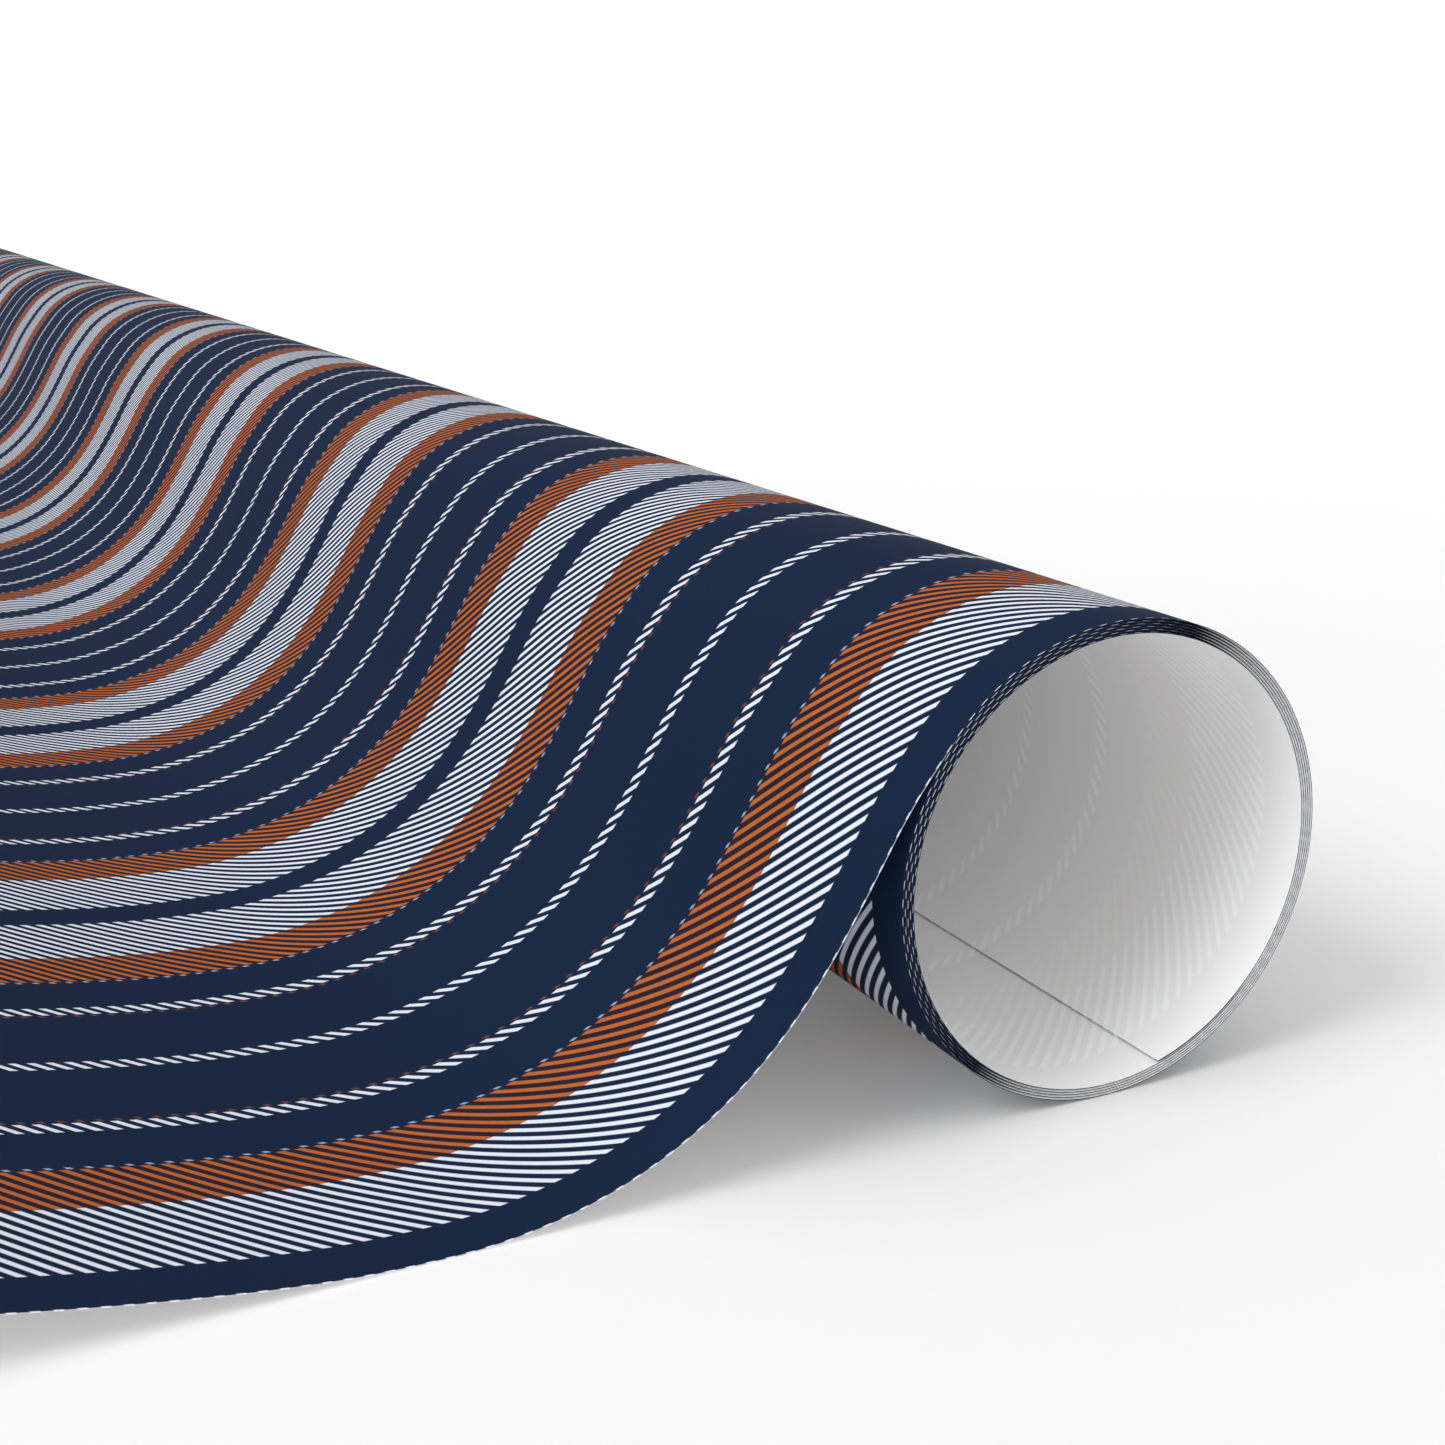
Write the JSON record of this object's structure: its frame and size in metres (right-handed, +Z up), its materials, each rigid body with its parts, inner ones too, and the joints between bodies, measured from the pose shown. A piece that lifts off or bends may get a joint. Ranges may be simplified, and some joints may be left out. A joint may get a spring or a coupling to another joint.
{
  "type": "wrapping paper roll",
  "caption": "Coreless roll of striped gift wrap with its outer end drawn off as a curved lead that lies on the table and winds back round the roll.",
  "frame": {"origin": "centre of the footprint on the table, under the middle of the sheet's width", "axes": "+Y along the roll's axis to its far end, +Z up, the lead running out towards -X"},
  "size_m": [0.1588, 0.762, 0.0447],
  "materials": {
    "gift_wrap": "satin"
  },
  "bodies": {
    "roll": {"wound_turns": "gift_wrap"},
    "tail": {"inner_tail": "gift_wrap"},
    "lead_01": {"lead_01": "gift_wrap"},
    "lead_02": {"lead_02": "gift_wrap"},
    "lead_03": {"lead_03": "gift_wrap"},
    "lead_04": {"lead_04": "gift_wrap"},
    "lead_05": {"lead_05": "gift_wrap"},
    "lead_06": {"lead_06": "gift_wrap"},
    "lead_07": {"lead_07": "gift_wrap"},
    "lead_08": {"lead_08": "gift_wrap"},
    "lead_09": {"lead_09": "gift_wrap"},
    "lead_10": {"lead_10": "gift_wrap"},
    "lead_11": {"lead_11": "gift_wrap"},
    "lead_12": {"lead_12": "gift_wrap"},
    "lead_13": {"lead_13": "gift_wrap"},
    "lead_14": {"lead_14": "gift_wrap"},
    "lead_15": {"lead_15": "gift_wrap"},
    "lead_16": {"lead_16": "gift_wrap"},
    "lead_17": {"lead_17": "gift_wrap"},
    "lead_18": {"lead_18": "gift_wrap"},
    "lead_19": {"lead_19": "gift_wrap"},
    "lead_20": {"lead_20": "gift_wrap"},
    "lead_21": {"lead_21": "gift_wrap"},
    "lead_22": {"lead_22": "gift_wrap"},
    "lead_23": {"lead_23": "gift_wrap"},
    "lead_24": {"lead_24": "gift_wrap"}
  },
  "joints": [
    {"name": "tail_fold", "type": "hinge", "parent": "roll", "child": "tail", "pos_m": [0.07154, 0, 0.00711], "axis": [0, 1, 0], "range_deg": [0, 25], "stiffness_Nm_per_rad": 0.005},
    {"name": "lead_bend_01", "type": "hinge", "parent": "roll", "child": "lead_01", "pos_m": [0.03988, 0, 0.03664], "axis": [0, -1, 0], "range_deg": [-0.5, 3.38]},
    {"name": "lead_bend_02", "type": "hinge", "parent": "lead_01", "child": "lead_02", "pos_m": [0.03557, 0, 0.03112], "axis": [0, -1, 0], "range_deg": [-3.3, 14.92]},
    {"name": "lead_bend_03", "type": "hinge", "parent": "lead_02", "child": "lead_03", "pos_m": [0.03225, 0, 0.02535], "axis": [0, -1, 0], "range_deg": [-3.3, 13.55]},
    {"name": "lead_bend_04", "type": "hinge", "parent": "lead_03", "child": "lead_04", "pos_m": [0.02947, 0, 0.02063], "axis": [0, -1, 0], "range_deg": [-3.3, 17.09]},
    {"name": "lead_bend_05", "type": "hinge", "parent": "lead_04", "child": "lead_05", "pos_m": [0.02677, 0, 0.0166], "axis": [0, -1, 0], "range_deg": [-3.3, 16.04]},
    {"name": "lead_bend_06", "type": "hinge", "parent": "lead_05", "child": "lead_06", "pos_m": [0.024, 0, 0.01311], "axis": [0, -1, 0], "range_deg": [-3.3, 17.03]},
    {"name": "lead_bend_07", "type": "hinge", "parent": "lead_06", "child": "lead_07", "pos_m": [0.02097, 0, 0.01001], "axis": [0, -1, 0], "range_deg": [-3.3, 17.2]},
    {"name": "lead_bend_08", "type": "hinge", "parent": "lead_07", "child": "lead_08", "pos_m": [0.01767, 0, 0.0073], "axis": [0, -1, 0], "range_deg": [-3.3, 17.27]},
    {"name": "lead_bend_09", "type": "hinge", "parent": "lead_08", "child": "lead_09", "pos_m": [0.01412, 0, 0.00499], "axis": [0, -1, 0], "range_deg": [-3.3, 17.19]},
    {"name": "lead_bend_10", "type": "hinge", "parent": "lead_09", "child": "lead_10", "pos_m": [0.01036, 0, 0.00312], "axis": [0, -1, 0], "range_deg": [-3.3, 17.65]},
    {"name": "lead_bend_11", "type": "hinge", "parent": "lead_10", "child": "lead_11", "pos_m": [0.00628, 0, 0.00166], "axis": [0, -1, 0], "range_deg": [-3.3, 17.55]},
    {"name": "lead_bend_12", "type": "hinge", "parent": "lead_11", "child": "lead_12", "pos_m": [0.00191, 0, 0.00063], "axis": [0, -1, 0], "range_deg": [-3.3, 18.18]},
    {"name": "lead_bend_13", "type": "hinge", "parent": "lead_12", "child": "lead_13", "pos_m": [-0.00285, 0, 0.00005], "axis": [0, -1, 0], "range_deg": [-3.3, 19.45]},
    {"name": "lead_bend_14", "type": "hinge", "parent": "lead_13", "child": "lead_14", "pos_m": [-0.00791, 0, 0.00005], "axis": [0, -1, 0], "range_deg": [-3.3, 15.27]},
    {"name": "lead_bend_15", "type": "hinge", "parent": "lead_14", "child": "lead_15", "pos_m": [-0.01318, 0, 0.00027], "axis": [0, -1, 0], "range_deg": [-3.3, 17.8]},
    {"name": "lead_bend_16", "type": "hinge", "parent": "lead_15", "child": "lead_16", "pos_m": [-0.01893, 0, 0.00088], "axis": [0, -1, 0], "range_deg": [-3.3, 17.61]},
    {"name": "lead_bend_17", "type": "hinge", "parent": "lead_16", "child": "lead_17", "pos_m": [-0.02501, 0, 0.00179], "axis": [0, -1, 0], "range_deg": [-3.3, 17.13]},
    {"name": "lead_bend_18", "type": "hinge", "parent": "lead_17", "child": "lead_18", "pos_m": [-0.03115, 0, 0.00286], "axis": [0, -1, 0], "range_deg": [-3.3, 17.14]},
    {"name": "lead_bend_19", "type": "hinge", "parent": "lead_18", "child": "lead_19", "pos_m": [-0.03735, 0, 0.00408], "axis": [0, -1, 0], "range_deg": [-3.3, 17.12]},
    {"name": "lead_bend_20", "type": "hinge", "parent": "lead_19", "child": "lead_20", "pos_m": [-0.0436, 0, 0.00544], "axis": [0, -1, 0], "range_deg": [-3.3, 17.14]},
    {"name": "lead_bend_21", "type": "hinge", "parent": "lead_20", "child": "lead_21", "pos_m": [-0.04986, 0, 0.0069], "axis": [0, -1, 0], "range_deg": [-3.3, 16.74]},
    {"name": "lead_bend_22", "type": "hinge", "parent": "lead_21", "child": "lead_22", "pos_m": [-0.05613, 0, 0.00846], "axis": [0, -1, 0], "range_deg": [-3.3, 17.85]},
    {"name": "lead_bend_23", "type": "hinge", "parent": "lead_22", "child": "lead_23", "pos_m": [-0.0629, 0, 0.01023], "axis": [0, -1, 0], "range_deg": [-3.3, 17.02]},
    {"name": "lead_bend_24", "type": "hinge", "parent": "lead_23", "child": "lead_24", "pos_m": [-0.06994, 0, 0.01216], "axis": [0, -1, 0], "range_deg": [-3.3, 23.89]}
  ]
}
